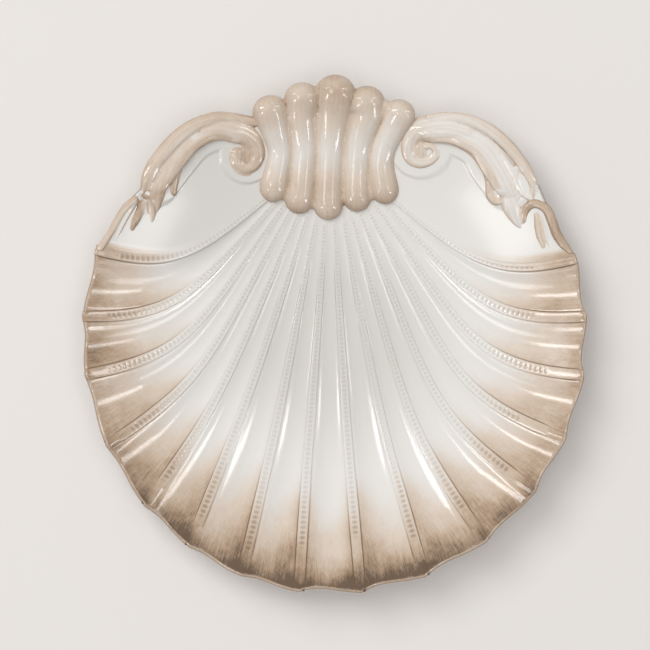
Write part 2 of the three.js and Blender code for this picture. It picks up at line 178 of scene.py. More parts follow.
# The rolls of each scroll: path, height for its half-width, lift above the bowl at its start and end, wash.
LEFT_ROLLS = (
    (LEFT_ARM, 0.34, 0.5, 0.8, 0.12),
    (LEFT_VOLUTE, 0.55, 0, 1.8, 0.42),
    (LEFT_EYE, 0.4, 0, 0, 0.62),
    (((-116, 96, 4), (-116, 89, 4.5), (-115, 83, 3)), 0.4, 1, 0.6, 0.36),
    (((-44.8, 110, 1.2), (-48.6, 103.8, 2), (-56, 102, 2.4), (-63, 104.3, 2.4), (-66.6, 109.8, 2.3),
      (-67.2, 115.3, 2.1), (-65, 120, 1.6)), 0.9, 0, 0.3, 0.4),
    (((-121.2, 91.8, 2.3), (-119.3, 98, 3.6), (-115.3, 106.5, 4.2), (-108.9, 114.8, 4.6),
      (-101.6, 122.8, 4.8), (-93.3, 129.6, 4.6), (-84.2, 134.7, 4.1), (-74, 137.6, 3.7), (-64, 137.2, 3.4),
      (-56, 136, 3.2), (-49.5, 135, 3)), 0.6, 1, 1.6, 0.42),
    (((-117.8, 92, 1.4), (-115.6, 99.8, 2.2), (-112.2, 105.5, 2.2), (-108.4, 109.4, 1.2)), 0.75, 2, 2, 0.3),
    (((-92, 122.5, 2.6), (-99.5, 116, 3.4), (-105.5, 107.8, 4.2), (-109, 99.8, 4.8), (-111.5, 93, 5),
      (-112.7, 86.8, 4.4), (-113.2, 81.7, 3), (-113.6, 76.4, 1.2)), 0.6, 1.6, 0, 0.48),
    (((-117.6, 84.5, 1.8), (-116.2, 79.5, 2.2), (-116, 74, 1.8), (-117, 69.8, 0.9)), 0.8, 1.2, 0, 0.36),
    (((-67.5, 124.5, 2), (-73, 126.3, 2.4), (-79.8, 124.9, 2.8), (-86.6, 120.6, 3.1), (-93.2, 116, 3.4),
      (-97.9, 110, 3.5), (-100.8, 103.2, 3.5), (-102.3, 96.4, 3.3), (-103, 90.5, 3)), 0.75, 1.5, 0.7, 0.52),
    (((-121.5, 88.3, 2.3), (-118, 86.8, 2.3)), 0.8, 0.8, 0.8, 0.62),
    (((-126.5, 86, 2.2), (-131, 82, 2.4), (-135, 77.2, 2.3), (-138.4, 71.3, 2.3), (-141.5, 65.4, 2.2),
      (-144.5, 60.5, 2.4), (-148.5, 54.5, 2.2)), 0.8, 0.4, 0.2, 0.34),
    (((-126.5, 84, 1.8), (-130.4, 78.4, 2.4), (-134.3, 71.9, 2.6), (-137.2, 66.1, 2.4), (-139.3, 60.5, 1.6)),
     0.6, 0.1, 0, 0.1),
    (((-122.5, 84, 2.6), (-125, 76.8, 3.4), (-127.5, 71.9, 3.4), (-129.2, 67.8, 2.6)), 0.6, 0.2, -0.2, 0.62),
    (((-121, 83.5, 2.2), (-120.6, 77.5, 2.2), (-121, 75, 1.8)), 0.6, 0, -0.4, 0.12),
)
RIGHT_ROLLS = (
    (RIGHT_ARM, 0.28, 0.8, 1.2, 0.08),
    (RIGHT_VOLUTE, 0.5, 0.3, 2, 0.18),
    (RIGHT_EYE, 0.4, 0, 0, 0.3),
    (((117, 104, 4), (116, 97, 6), (114.5, 90.5, 7.5), (109, 88.5, 7), (103, 89.5, 4.5)), 0.3, 1, 0.8, 0.1),
    (((125.6, 89.4, 2.4), (126, 95, 3), (122.7, 102.3, 3.4), (117.3, 110.5, 3.7), (109.9, 119.5, 3.9),
      (101, 127.6, 3.9), (90.7, 133.6, 3.7), (80.3, 137, 3.3), (69.8, 138, 2.8), (60, 137.5, 2.4)),
     0.55, 0.9, 1.6, 0.24),
    (((124.3, 86.6, 2), (120.6, 88.7, 2.2), (117.3, 94.6, 2.4), (113.9, 102.1, 2.3), (108.7, 110.3, 2),
      (103.5, 116.5, 1.3)), 0.8, 1, 1.8, 0.08),
    (((96.7, 118.6, 3), (103.4, 108.9, 4), (107.9, 99.1, 4.8), (111.3, 90.2, 6), (113.6, 81.9, 7.2),
      (115.8, 75.2, 5.4), (118.2, 70, 3), (120.4, 67.2, 1)), 0.45, 1.4, 0.2, 0.1),
    (((66, 124, 2), (74.3, 123.5, 2.8), (81, 120.6, 3.2), (87.7, 116.9, 3.6), (93.3, 110.8, 3.8),
      (97.5, 104.5, 4), (99.6, 97.5, 4), (99.9, 90.5, 4)), 0.65, 1.2, 0.5, 0.26),
    (((99.9, 88.5, 3.6), (102.3, 85.3, 3.2), (105.8, 85.3, 2.6), (107.5, 88.5, 1.6)), 0.8, 0.6, 1, 0.3),
    (((120.3, 72.2, 1.8), (121.2, 78.2, 2.8), (124.4, 82.3, 3), (129.2, 82.7, 3), (134.6, 79, 3.1),
      (138.2, 70.9, 3.2), (141, 63.4, 3.2), (145.3, 56.7, 2.8), (149.3, 52.3, 1.8)), 0.75, 0.8, 0.2, 0.56),
    (((129.2, 75.5, 2.8), (130.4, 69.2, 3.6), (131.9, 62.5, 3.8), (133.8, 56.5, 2.8)), 0.5, 0, -0.3, 0.28),
    (((131, 74.5, 1), (133.5, 68, 1.4), (135, 61, 1.4), (137, 55.5, 1)), 0.8, 0.8, 0.4, 0.0),
)

# How a roll is laid: its middle below the bowl, its depth below that, and how far out it turns round.
ROLL_SINK = 1
ROLL_ROOT = 3
ROLL_ROUND = (0.82, 0.94)
ROLL_AROUND = 28
ROWS_PER_SPAN = 8
CAP_ANGLES = tuple(range(15, 80, 15))
VOXEL = 0.62
SOFTEN = 0.5
SOFTEN_ROUNDS = 5
HOLLOW_ROUNDS = 6

# Wash on the bowl: 0 is bare white glaze and 1 the darkest brown. Pairs are where a change starts and ends.
WASH_REACH = (0.56, 1.02)
WASH_POWER = 1.3
WASH_MOST = 0.45
WASH_FRONT = 0.18
WASH_RIGHT = 0.05
RIGHT_SIDE = (60, 160)
LOWER_SHIFT = 0.26
LOWER_POWER = 2.5
UPPER_SHIFT = 0.05
SHIFT_REACH = (0.35, 0.7)
RIM_WASH = 0.14
RIM_WASH_FRONT = 0.22
RIM_WASH_REACH = (0.81, 1)
RIM_WASH_POWER = 1.6
FAN_EDGE = (4, 9)
BAND_END_WASH = 0.08
BAND_END_REACH = (0.94, 0.99)
BAND_END_WIDTH = 0.3
BAND_SIDE = 0.6
LIP_TURNS = (-90, -30, 0, 30, 50, 75)
LIP_WASH = (0.3, 0.3, 0.12, 0.15, 0.4, 0.6)
LIP_LINE = 0.8
LIP_LINE_TURN = 45
LIP_LINE_SPREAD = 11
UNDER_WASH = 0.16
FOOT_WASH = 0.2

# Painted light and shade on the white glaze: greyest in the middle of the bowl, painted brighter away from
# it, and greyer at the hinge's left as painted shade
PAINTED_LIGHT_GAIN = 0.12
PAINTED_LIGHT_REACH = (0.15, 0.6)
LEFT_PAINTED_SHADE = 0.55
LEFT_PAINTED_SHADE_Y = (20, 60)
LEFT_PAINTED_SHADE_X = (-60, 20)

# Dark lines where wash settles: the least, what each part of wash adds, and the most.
GROOVE_TINT = (0.14, 1.9, 0.95)
PIT_TINT = (0.17, 1.2, 0.55)
EDGE_TINT = (0.08, 1.3, 0.7)

# Wash on the hinge
LOBE_WASH = 0.16
LOBE_TOP_WASH = 0.24
LOBE_TOP_MIDDLE = 0.18
LOBE_TOP_Y = (114, 156)
LOBE_FOOT_WASH = 0.32
LOBE_FOOT_Y = (76, 120)
LOBE_SIDE_WASH = 0.12
LOBE_SIDE = (0.5, 1)
MIDDLE_LOBE_WIDTH = 12
SCROLL_WASH = 0.05
SCROLL_SIDE_WASH = 0.2
SCROLL_SIDE = (0.45, 1)
# Rolls are darker on faces that turn steeply from up or face down: how much, and the upward part of the
# normal over which it fades out.
STEEP_FACE_DARKENING = 0.2
STEEP_FACE_NORMAL_Z = (-0.1, 0.6)
HOLLOW_WASH = 0.2
HOLLOW_BEND = (0.02, 0.2)
HOLLOW_LINE = 0.45
HOLLOW_LINE_BEND = (0.08, 0.35)
NEARNESS = 2.5

# Brushed strands on the rolls: size, how fine, sway, how often it sways, and shift from roll to roll.
STRANDS = ((1, 1.9, 1.5, 0.11, 1), (0.7, 3.7, 2, 0.07, 2))
LOBE_STRANDS = 0.012
SCROLL_STRANDS = 0.032

# The finish runs along the ribs: the run given to a rib, and what keeps one rib's pattern from the next.
FLOW_RUN = 260
FLOW_APART = 31
FLOW_LAYER = 7.0
FLOW_WIDTH_AT = 0.6

# Glaze
GLAZE_ROUGHNESS = 0.13
GLAZE_IOR = 1.5
# From 0 to 0.12 the ramp brightens the white glaze: that rise shows the painted light and shade carried with
# the wash; the brown wash lies above it.
WASH_STOPS = (
    (0.0, (0.655, 0.635, 0.60)),
    (0.12, (0.775, 0.75, 0.715)),
    (0.3, (0.69, 0.585, 0.49)),
    (0.55, (0.555, 0.43, 0.325)),
    (0.75, (0.41, 0.29, 0.20)),
    (1.0, (0.15, 0.10, 0.065)),
)
DARK_WASH = (0.19, 0.11, 0.06)

# Unevenness of the wash: scale across, along and through, detail, amount. It fades where there is no wash.
FINE_BRUSH = ((2.4, 0.12, 1), 3, 0.4)
BROAD_BRUSH = ((0.8, 0.035, 1), 4, 0.25)
HATCH = ((900, 160, 400), 2, 0.2)
HATCH_TURNS = (0.8, -0.8)
CLOUDS = (38, 4, 0.8)
BARE_WASH = 0.1
UNEVEN_GAIN = 2.0

# Floor
FLOOR_SIZE = 8
FLOOR_COLOR = (0.785, 0.755, 0.731)
FLOOR_ROUGHNESS = 0.9

# Lights, aimed at the dish: name, place, size and power. Broad lights give no glints, and boxes only glints.
WORLD_COLOR = (1.0, 0.99, 0.975)
WORLD_STRENGTH = 0.34
BROAD_LIGHTS = (
    ("overhead", (0, 0, 4.6), (3.2, 3.2), 84),
    ("key", (-1.9, 1.9, 3.85), (2.4, 2.4), 96),
)
BOX_LIGHTS = (
    ("box", (-1.08, 0.12, 1.15), (0.16, 0.8), 5),
    ("strip", (-1.08, 0.12, 1.15), (0.035, 0.7), 1),
    ("low box", (-1.05, -0.85, 1.0), (0.17, 0.4), 2.8),
    ("box", (1.08, 0.12, 1.15), (0.16, 0.8), 3.5),
    ("strip", (1.08, 0.12, 1.15), (0.035, 0.7), 1),
    ("low box", (1.05, -0.85, 1.0), (0.17, 0.4), 2.8),
    ("ear box", (-0.54, -0.35, 1.1), (0.26, 0.2), 0.8),
    ("ear box", (0.63, -0.35, 1.1), (0.26, 0.2), 0.8),
)

# The camera looks straight down. The view is that wide at the rim's height, all in millimetres.
VIEW_WIDTH = 412.1
CAMERA_HEIGHT = 2000
RIM_HEIGHT = 40
OFF_CENTRE = (-6, 5.9)
SENSOR_WIDTH = 36
CLIP_END = 20

RIBS = len(RIB_ENDS)
GUIDES = RIBS + len(HINGE_EDGE)
MIDDLE_FLUTE = (RIBS - 2) // 2


def smooth(low, high, value):
    s = np.clip((np.asarray(value, float) - low) / (high - low), 0, 1)
    return s * s * (3 - 2 * s)


def heading(degrees):
    a = math.radians(degrees)
    return np.array([math.sin(a), -math.cos(a)])


def reach(x, y):
    """How far out a place is: 0 at the middle of the bowl and 1 on the rim's ellipse."""
    return np.hypot(x / HALF_WIDTH, y / HALF_LENGTH)


def bowl(x, y):
    return FLOOR + RISE * reach(x, y) ** BOWL_POWER


def rib_guide(index):
    across = (index - MIDDLE_RIB) / MIDDLE_RIB
    start = np.array([ROOT_X + ROOT_HALF * across, ROOT_Y])
    end = heading(RIB_ENDS[index]) * (HALF_WIDTH, HALF_LENGTH)
    span = np.linalg.norm(end - start)
    depart = start + DEPART_PULL * span * heading(RIB_DEPART_STEP * (index - MIDDLE_RIB))
    arrive = end - ARRIVE_PULL * span * heading(RIB_ARRIVALS[index])
    return np.array([start, depart, arrive, end])


def hinge_guide(index, ribs):
    count = len(HINGE_EDGE)
    across = 1 - 2 * (index + 0.5) / count
    start = np.array([ROOT_X + ROOT_HALF * across, ROOT_HINGE_Y])
    end = np.array(HINGE_EDGE[index], float)
    right = index < count / 2
    turn = index if right else count - 1 - index
    bend = HINGE_BENDS[turn] if turn < len(HINGE_BENDS) else 0
    model = ribs[-1 if right else 0]
    pulls = []
    for control, along in ((model[1], DEPART_PULL), (model[2], 1 - ARRIVE_PULL)):
        off = (control - (model[0] + (model[3] - model[0]) * along)) * bend
        pulls.append(start + (end - start) * along + off)
    return np.array([start, *pulls, end])


rib_guides = [rib_guide(i) for i in range(RIBS)]
guides = rib_guides + [hinge_guide(i, rib_guides) for i in range(len(HINGE_EDGE))]


def on_guide(g, along):
    t = np.asarray(along, float)[..., None]
    a, b, c, d = guides[g % GUIDES]
    return (1 - t) ** 3 * a + 3 * (1 - t) ** 2 * t * b + 3 * (1 - t) * t * t * c + t ** 3 * d


def is_rib(g):
    return g % GUIDES < RIBS


def flute_pitch(g, along):
    """The distance between ribs here; outside the first and last rib it is that of the nearest flute."""
    flute = g if g < RIBS - 1 else RIBS - 2 if g == RIBS - 1 else 0
    return np.linalg.norm(on_guide(flute + 1, along) - on_guide(flute, along), axis=-1)


def band_half(pitch):
    return np.minimum(np.minimum(BAND_SHARE * pitch, BAND_LEAST + BAND_PER_PITCH * pitch), BAND_MOST)


def flute_depth(pitch):
    return np.minimum(FLUTE_HOLLOW * pitch, FLUTE_DEPTH)


def surface(g, across, along):
    """Place and height of the surface between guide g and the next; across and along run 0 to 1."""
    a = on_guide(g, along)
    b = on_guide(g + 1, along)
    across = np.broadcast_to(across, a.shape[:-1])
    point = a + (b - a) * across[..., None]
    arch = 4 * across * (1 - across)
    hollow = 0
    if g < RIBS - 1:
        side = b - a
        width = np.linalg.norm(side, axis=-1)
        inward = np.stack([-side[..., 1], side[..., 0]], axis=-1) / width[..., None]
        fall = (RIM_DIPS[g] * arch + RIM_SWAY * np.sin(2 * math.pi * across)) * along ** RIM_POWER
        point = point + inward * fall[..., None]
        half = band_half(width) / width
        level = np.clip(across, half, 1 - half)
        hollow = flute_depth(width) * 4 * level * (1 - level)
    x, y = point[..., 0], point[..., 1]
    return x, y, bowl(x, y) - hollow


def dish_lines(along):
    """Each line of the dish's surface: its guide, its place across, how deep in a groove it is."""
    lines = []
    for g in range(GUIDES):
        start, end = is_rib(g), is_rib(g + 1)
        width = np.linalg.norm(on_guide(g + 1, along) - on_guide(g, along), axis=-1)
        half = band_half(flute_pitch(g, along))
        lines.append((g, np.zeros_like(width), 0))
        near = [(np.clip((half + off) / width, *GROOVE_LIMITS), groove) for off, groove in GROOVE_OFFSETS]
        if start:
            lines.extend((g, u, groove) for u, groove in near)
        middle = FLUTE_LINES if start or end else HINGE_LINES
        lines.extend((g, np.full_like(width, u), 0) for u in middle)
        if end:
            lines.extend((g, 1 - u, groove) for u, groove in reversed(near))
    return lines


def ring_faces(rings, count, flip=False):
    """Quads between closed rings of count points."""
    r, k = np.meshgrid(np.arange(rings - 1), np.arange(count), indexing="ij")
    n = (k + 1) % count
    corners = [r * count + k, r * count + n, (r + 1) * count + n, (r + 1) * count + k]
    faces = np.stack([c.ravel() for c in corners], axis=1)
    return (faces[:, ::-1] if flip else faces).tolist()


def add_mesh(name, points, faces, material, **attributes):
    """A smooth piece of the dish from points in millimetres, with its numbers for the finish."""
    mesh = bpy.data.meshes.new(name)
    mesh.from_pydata((np.asarray(points) * MM).tolist(), [], faces)
    mesh.polygons.foreach_set("use_smooth", np.ones(len(mesh.polygons), bool))
    for key, values in attributes.items():
        values = np.asarray(values, float)
        kind = "FLOAT_VECTOR" if values.ndim == 2 else "FLOAT"
        field = "vector" if values.ndim == 2 else "value"
        mesh.attributes.new(key, kind, "POINT").data.foreach_set(field, values.ravel())
    mesh.materials.append(material)
    piece = bpy.data.objects.new(name, mesh)
    bpy.context.scene.collection.objects.link(piece)
    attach(piece, "root")
    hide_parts(NODE)
    return piece


def spline(path):
    """A smooth run of rows through the rows of path."""
    p = np.array(path, float)
    p = np.vstack([2 * p[0] - p[1], p, 2 * p[-1] - p[-2]])
    p[0, 2:], p[-1, 2:] = p[2, 2:], p[-3, 2:]
    t = np.arange(ROWS_PER_SPAN)[:, None] / ROWS_PER_SPAN
    rows = []
    for a, b, c, d in zip(p, p[1:], p[2:], p[3:]):
        straight = 2 * b + (c - a) * t
        curved = (2 * a - 5 * b + 4 * c - d) * t ** 2 + (3 * b - a - 3 * c + d) * t ** 3
        rows.append(0.5 * (straight + curved))
    return np.vstack([*rows, p[-2][None]])


def scroll_ledge(x, y):
    """1 on the low step in the dish beside the scrolls, and 0 away from it."""
    near = np.full(np.shape(x), 1e9)
    for path in (LEFT_ARM, RIGHT_ARM, LEFT_VOLUTE, RIGHT_VOLUTE):
        for px, py, half in spline(path):
            near = np.minimum(near, np.hypot(x - px, y - py) - half)
    return 1 - smooth(*LEDGE_EDGE, near)


def lower_side(g, across):
    """0 beside the flute's rib nearer the hinge, where the wash is thinner, and 1 beside its other rib."""
    if g >= RIBS - 1:
        return np.full_like(across, 0.5)
    if g == MIDDLE_FLUTE:
        return np.abs(2 * across - 1)
    return across if g < MIDDLE_FLUTE else 1 - across


def wash_at(x, y, lower):
    """How much brown wash is left on the glaze: none in the middle, most at the rim."""
    out = reach(x, y)
    shifted = out + (LOWER_SHIFT * lower ** LOWER_POWER - UPPER_SHIFT) * smooth(*SHIFT_REACH, out)
    front = np.clip(-y / HALF_LENGTH, 0, 1) ** 2
    most = WASH_MOST + WASH_FRONT * front - WASH_RIGHT * smooth(*RIGHT_SIDE, x)
    rim = RIM_WASH + RIM_WASH_FRONT * front
    spread = most * smooth(*WASH_REACH, shifted) ** WASH_POWER
    return spread + rim * smooth(*RIM_WASH_REACH, out) ** RIM_WASH_POWER


# Painted light and shade: the glaze is painted brighter away from the middle of the bowl, and painted shade
# greys it at the hinge's left.
def painted_light_and_shade(x, y):
    left = smooth(*LEFT_PAINTED_SHADE_Y, y) * (1 - smooth(*LEFT_PAINTED_SHADE_X, x))
    return PAINTED_LIGHT_GAIN * smooth(*PAINTED_LIGHT_REACH, reach(x, y)) * (1 - LEFT_PAINTED_SHADE * left)


def settled(depth, wash, tint):
    """How dark the line of a hollow is, for its depth and the wash around it."""
    least, per_wash, most = tint
    return depth * np.minimum(least + per_wash * wash, most)


def beside_rib(g, across, along):
    """1 on the fan, falling to 0 a short way above the outermost ribs."""
    if g < RIBS - 1:
        return np.ones_like(along)
    if RIBS - 1 < g < GUIDES - 1:
        return np.zeros_like(along)
    off = across if g == RIBS - 1 else 1 - across
    width = np.linalg.norm(on_guide(g + 1, along) - on_guide(g, along), axis=-1)
    return 1 - smooth(*FAN_EDGE, off * width)


def dish_finish(g, across, groove, x, y, along):
    """The wash along one line of the bowl, with the painted light and shade of the glaze added, and how dark
    the line is where it runs in a groove.
    """
    wash = wash_at(x, y, lower_side(g, across))
    if g < RIBS - 1:
        beside = 1 - smooth(0, BAND_END_WIDTH, np.minimum(across, 1 - across))
        wash += BAND_END_WASH * smooth(*BAND_END_REACH, along) * beside
    wash *= beside_rib(g, across, along)
    line = settled(groove, wash, GROOVE_TINT)
    if g < RIBS:
        left = (1 - along) * RIB_LENGTH
        stop = np.interp(across, (0, 1), (LINE_ENDS[g], LINE_ENDS[min(g + 1, RIBS - 1)]))
        line *= smooth(-LINE_FADE, LINE_FADE, left - stop)
    # The wash returned here carries the painted light and shade of the glaze as well.
    return wash + painted_light_and_shade(x, y), line


def dish_column(g, across, groove, rim_across, steps):
    """One line of the dish from the root over the lip and back below: points, wash with painted light and
    shade, line and flow.
    """
    near = on_guide(g, np.array([1.0, 0.99]))
    lip = (WALL / 2) / (np.linalg.norm(near[0] - near[1]) / 0.01)
    along = steps * (1 - lip)
    x, y, z = surface(g, across, along)
    cut = GROOVE * groove * smooth(*GROOVE_RISES, along)
    z = z - cut
    if g >= RIBS - 1:
        z = z + LEDGE_HEIGHT * scroll_ledge(x, y)
    rim_x, rim_y, _ = surface(g, rim_across, np.array([1.0]))
    out = np.array([rim_x[0] - x[-1], rim_y[0] - y[-1]])
    out /= np.linalg.norm(out)
    turned = np.array(LIP_BENDS)
    bend = np.radians(turned)
    lip_x = x[-1] + out[0] * WALL / 2 * np.cos(bend)
    lip_y = y[-1] + out[1] * WALL / 2 * np.cos(bend)
    lip_z = z[-1] - WALL / 2 + WALL / 2 * np.sin(bend)
    under = slice(-UNDER_STRIDE, None, -UNDER_STRIDE)
    points = np.stack([
        np.concatenate([x, lip_x, x[under]]),
        np.concatenate([y, lip_y, y[under]]),
        np.concatenate([z, lip_z, z[under] + cut[under] - WALL]),
    ], axis=1)
    wash, line = dish_finish(g, across, groove, x, y, along)
    lip_wash = np.interp(turned, LIP_TURNS, LIP_WASH) * beside_rib(g, across, along)[-1]
    lip_line = LIP_LINE * np.exp(-((turned - LIP_LINE_TURN) / LIP_LINE_SPREAD) ** 2)
    below = len(x[under])
    width = flute_pitch(g, np.array([FLOW_WIDTH_AT]))[0]
    flow = np.stack([
        np.full(len(points), g * FLOW_APART + across.mean() * width),
        np.concatenate([along * FLOW_RUN, np.full(len(bend), FLOW_RUN), along[under] * FLOW_RUN]),
        np.full(len(points), g * FLOW_LAYER),
    ], axis=1)
    wash = np.concatenate([wash, lip_wash, np.full(below, UNDER_WASH)])
    return points, wash, np.concatenate([line, lip_line, np.zeros(below)]), flow


def make_dish(material):
    steps = 1 - (1 - np.linspace(0, 1, TOP_LINES)) ** TOP_CROWDING
    lines = dish_lines(steps)
    at_rim = dish_lines(np.array([1.0]))
    columns = [dish_column(*line, rim[1], steps) for line, rim in zip(lines, at_rim)]
    grid, wash, line, flow = (np.stack(part, axis=1) for part in zip(*columns))
    rings, count = wash.shape
    middle_y = (ROOT_Y + ROOT_HINGE_Y) / 2
    height = bowl(ROOT_X, middle_y)
    closing = [[ROOT_X, middle_y, height], [ROOT_X, middle_y, height - WALL]]
    points = np.vstack([grid.reshape(-1, 3), closing])
    faces = ring_faces(rings, count, flip=True)
    above, below = rings * count, rings * count + 1
    last = (rings - 1) * count
    for k in range(count):
        n = (k + 1) % count
        faces.append([above, k, n])
        faces.append([below, last + n, last + k])
    blank = np.zeros(len(closing))
    add_mesh("dish", points, faces, material, wash=np.append(wash, blank), line=np.append(line, blank),
             flow=np.vstack([flow.reshape(-1, 3), np.zeros((len(closing), 3))]))


def bead_stations(index):
    """Places along a rib, the count of beads passed at each, and how far the rim still is."""
    along = np.linspace(*BAND_SPAN, BAND_SAMPLES)
    x, y = on_guide(index, along).T
    run = np.concatenate([[0], np.cumsum(np.hypot(np.diff(x), np.diff(y)))])
    first, last = BEAD_SPACING
    spacing = first + (last - first) * run / run[-1]
    beads = np.concatenate([[0], np.cumsum(np.diff(run) / spacing[1:])])
    stations = np.arange(0, beads[-1], 1 / BEAD_STATIONS)
    return np.interp(stations, beads, along), stations, np.interp(stations, beads, run[-1] - run)


def band_widths(index, along):
    """Half the width of a rib's band, and how far the flutes beside it take it below the bowl."""
    pitches = [flute_pitch(g, along) for g in (max(index - 1, 0), min(index, RIBS - 2))]
    half = np.mean([band_half(p) for p in pitches], axis=0)
    sunk = np.mean([flute_depth(p) * 4 * (half / p) * (1 - half / p) for p in pitches], axis=0)
    return half, sunk * (OUTER_SINK if index in (0, RIBS - 1) else 1)


def make_band(index, material):
    """The raised band of one rib, with its row of punched pits."""
    along, beads, left = bead_stations(index)
    middle = on_guide(index, along)
    ahead = on_guide(index, np.minimum(along + BAND_STEP, 1)) - on_guide(index, along - BAND_STEP)
    ahead /= np.linalg.norm(ahead, axis=1)[:, None]
    side = np.stack([-ahead[:, 1], ahead[:, 0]], axis=1)
    half, sunk = band_widths(index, along)
    across = np.array(BAND_ACROSS)
    x = middle[:, 0, None] + side[:, 0, None] * half[:, None] * across
    y = middle[:, 1, None] + side[:, 1, None] * half[:, None] * across
    shown = smooth(-BEAD_FADE, BEAD_FADE, left - BEAD_ENDS[index])[:, None]
    from_middle = np.hypot(across / PIT_HALF_WIDTH, ((beads % 1 - 0.5) / PIT_HALF_LENGTH)[:, None])
    pit = np.clip(1 - from_middle ** 2, 0, 1) ** 0.5 * shown
    fall = WALL / 2 - np.sqrt(np.maximum((WALL / 2) ** 2 - np.maximum(WALL / 2 - left, 0) ** 2, 0))
    raised = smooth(*BAND_RISES, along)
    raised *= smooth(-BAND_FADE, BAND_FADE, left - LINE_ENDS[index])
    rise = (BAND_HEIGHT + BAND_HIDDEN) * raised - BAND_HIDDEN
    z = bowl(x, y) + (rise - sunk - fall)[:, None] + BAND_DROPS - BAND_CROWN * across ** 2 - PIT_DEPTH * pit
    z[0] -= BAND_TUCK
    count = len(across)
    points = np.stack([x, y, z], axis=2).reshape(-1, 3)
    faces = ring_faces(len(along), count, flip=True)
    faces.append(list(range(count)))
    faces.append([len(points) - 1 - k for k in range(count)])
    wash = wash_at(x, y, BAND_SIDE)
    line = np.maximum(settled(pit, wash, PIT_TINT), settled(np.abs(across) > BAND_EDGE, wash, EDGE_TINT))
    # The band's wash takes the painted light and shade of the glaze as well.
    wash += painted_light_and_shade(x, y)
    flow = np.stack([
        index * FLOW_APART + half[:, None] * across,
        np.broadcast_to(along[:, None] * FLOW_RUN, x.shape),
        np.full(x.shape, index * FLOW_LAYER),
    ], axis=2).reshape(-1, 3)
    add_mesh(f"band_{index + 1}", points, faces, material, wash=wash.ravel(), line=line.ravel(), flow=flow)


def roll_body(path, up, lift=(0, 0)):
    """Points and faces of a rounded roll laid on the bowl along a path, closed by round ends."""
    rows = spline(path)
    step = np.gradient(rows[:, :2], axis=0)
    run = np.linalg.norm(step, axis=1)
    step /= run[:, None]
    base = bowl(rows[:, 0], rows[:, 1]) - ROLL_SINK + np.linspace(*lift, len(rows))
    climb = np.gradient(base) / run
    caps = []
    for at, sign in ((0, -1), (-1, 1)):
        half = rows[at, 2]
        cap = []
        for a in np.radians(CAP_ANGLES):
            x, y = rows[at, :2] + step[at] * sign * half * math.sin(a)
            middle = base[at] + sign * climb[at] * half * math.sin(a) * math.cos(a)
            cap.append((x, y, half, math.cos(a), *step[at], middle))
        caps.append(cap)
    body = [(x, y, half, 1, *d, middle) for (x, y, half), d, middle in zip(rows, step, base)]
    x, y, half, scale, dx, dy, middle = (c[:, None] for c in np.array(caps[0][::-1] + body + caps[1]).T)
    a = 2 * math.pi * (np.arange(ROLL_AROUND) + 0.5)[None, :] / ROLL_AROUND
    beyond = smooth(*ROLL_ROUND, reach(x, y))
    down = np.minimum(ROLL_ROOT, up * half) * (1 - beyond) + up * half * beyond
    rise = np.where(np.sin(a) > 0, up * half, down) * np.sin(a) * scale
    side = half * scale * np.cos(a)
    points = np.stack(np.broadcast_arrays(x - dy * side, y + dx * side, middle + rise), axis=2)
    count = len(x)
    tips = [(*(rows[at, :2] + step[at] * sign * rows[at, 2]), base[at]) for at, sign in ((0, -1), (-1, 1))]
    points = np.vstack([points.reshape(-1, 3), tips])
    faces = ring_faces(count, ROLL_AROUND)
    start, end, last = count * ROLL_AROUND, count * ROLL_AROUND + 1, (count - 1) * ROLL_AROUND
    for k in range(ROLL_AROUND):
        n = (k + 1) % ROLL_AROUND
        faces.append([start, n, k])
        faces.append([end, last + k, last + n])
    return points, faces


def fuse(bodies):
    """One closed skin over overlapping bodies, with its hollows rounded: points, faces, normals, edges."""
    points, faces, base = [], [], 0
    for body_points, body_faces in bodies:
        points.append(body_points)
        faces += [[k + base for k in face] for face in body_faces]
        base += len(body_points)
    mesh = bpy.data.meshes.new("rough")
    mesh.from_pydata(np.vstack(points).tolist(), [], faces)
    rough = bpy.data.objects.new("rough", mesh)
    bpy.context.scene.collection.objects.link(rough)
    skin = rough.modifiers.new("skin", "REMESH")
    skin.mode = "VOXEL"
    skin.voxel_size = VOXEL
    soften = rough.modifiers.new("soften", "SMOOTH")
    soften.factor = SOFTEN
    soften.iterations = SOFTEN_ROUNDS
    shaped = rough.evaluated_get(bpy.context.evaluated_depsgraph_get()).to_mesh()
    xyz = np.empty(len(shaped.vertices) * 3)
    shaped.vertices.foreach_get("co", xyz)
    normals = np.empty(len(shaped.vertices) * 3)
    shaped.vertex_normals.foreach_get("vector", normals)
    pairs = np.empty(len(shaped.edges) * 2, dtype=np.int64)
    shaped.edges.foreach_get("vertices", pairs)
    skins = [list(face.vertices) for face in shaped.polygons]
    rough.to_mesh_clear()
    bpy.data.objects.remove(rough)
    bpy.data.meshes.remove(mesh)
    return xyz.reshape(-1, 3), skins, normals.reshape(-1, 3), pairs.reshape(-1, 2)


def hollowness(points, normals, pairs):
    """How hollow the skin is at each point, per millimetre: above 0 in a groove and below 0 on a crest."""
    a, b = pairs.T
    along = points[b] - points[a]
    length = np.sum(along ** 2, axis=1)
    count = np.bincount(pairs.ravel(), minlength=len(points))
    bend = np.bincount(a, np.sum(normals[a] * along, axis=1) / length, len(points))
    bend -= np.bincount(b, np.sum(normals[b] * along, axis=1) / length, len(points))
    bend /= count
    for _ in range(HOLLOW_ROUNDS):
        near = np.bincount(a, bend[b], len(points)) + np.bincount(b, bend[a], len(points))
        bend = (bend + near) / (1 + count)
    return bend


